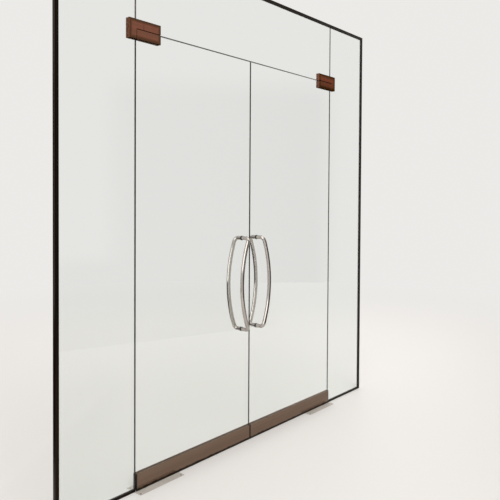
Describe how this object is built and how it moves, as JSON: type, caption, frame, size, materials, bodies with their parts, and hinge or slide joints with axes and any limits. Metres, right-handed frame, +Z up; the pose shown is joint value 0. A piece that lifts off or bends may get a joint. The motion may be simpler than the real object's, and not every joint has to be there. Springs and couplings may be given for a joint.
{
  "type": "glass entrance door",
  "caption": "Frameless glass entrance: a pair of double-acting leaves with bow pulls, patch fittings and floor closers, between glass sidelights under an overpanel.",
  "frame": {"origin": "meeting joint of the two leaves at finished floor level, in the middle of the glass thickness", "axes": "+Z up; +X to the right seen from outside; +Y through the door, away from that viewer"},
  "size_m": [2.76, 0.1474, 2.9395],
  "materials": {
    "channel": "black anodised, satin",
    "rubber": "matt black",
    "block": "hard rubber, matt",
    "glass": "clear tempered glass",
    "sealant": "translucent silicone",
    "patch": "polished, bronze tone",
    "core": "plain machined",
    "screw": "zinc plated",
    "pin": "ground steel",
    "box": "grey coated sheet",
    "closer": "grey painted casting",
    "cover": "satin",
    "rail": "polished, bronze tone",
    "extrusion": "mill finish",
    "pull": "polished stainless steel",
    "nylon": "black nylon",
    "cap": "moulded, near black"
  },
  "bodies": {
    "frame": {"head_channel": "channel", "left_wall_channel": "channel", "right_wall_channel": "channel", "left_floor_channel": "channel", "right_floor_channel": "channel", "channel_gaskets": "rubber", "setting_blocks": "block", "left_sidelight_glass": "glass", "right_sidelight_glass": "glass", "overpanel_glass": "glass", "butt_joint_seals": "sealant", "left_corner_patch_front": "patch", "right_corner_patch_front": "patch", "left_corner_patch_back": "patch", "right_corner_patch_back": "patch", "left_corner_patch_core": "core", "right_corner_patch_core": "core", "corner_patch_gaskets": "rubber", "corner_patch_screws": "screw", "left_top_pivot": "pin", "right_top_pivot": "pin", "left_closer_box": "box", "right_closer_box": "box", "left_closer_body": "closer", "right_closer_body": "closer", "left_closer_cover": "cover", "right_closer_cover": "cover", "closer_screws": "screw"},
    "left_leaf": {"left_door_glass": "glass", "left_top_patch_front": "patch", "left_top_patch_back": "patch", "left_top_patch_core": "core", "left_top_patch_gaskets": "rubber", "left_leaf_screws": "screw", "left_rail_core": "extrusion", "left_rail_cover_front": "rail", "left_rail_cover_back": "rail", "left_rail_gasket": "rubber", "left_rail_end_caps": "cap", "left_bottom_arm": "pin", "left_closer_spindle": "pin", "left_pull_outside": "pull", "left_pull_inside": "pull", "left_pull_washers": "nylon"},
    "right_leaf": {"right_door_glass": "glass", "right_top_patch_front": "patch", "right_top_patch_back": "patch", "right_top_patch_core": "core", "right_top_patch_gaskets": "rubber", "right_leaf_screws": "screw", "right_rail_core": "extrusion", "right_rail_cover_front": "rail", "right_rail_cover_back": "rail", "right_rail_gasket": "rubber", "right_rail_end_caps": "cap", "right_bottom_arm": "pin", "right_closer_spindle": "pin", "right_pull_outside": "pull", "right_pull_inside": "pull", "right_pull_washers": "nylon"}
  },
  "joints": [
    {"name": "left_door_swing", "type": "hinge", "parent": "frame", "child": "left_leaf", "pos_m": [-0.849, 0, 0], "axis": [0, 0, 1], "range_deg": [-90, 90], "stiffness_Nm_per_rad": 12},
    {"name": "right_door_swing", "type": "hinge", "parent": "frame", "child": "right_leaf", "pos_m": [0.849, 0, 0], "axis": [0, 0, 1], "range_deg": [-90, 90], "stiffness_Nm_per_rad": 12}
  ]
}
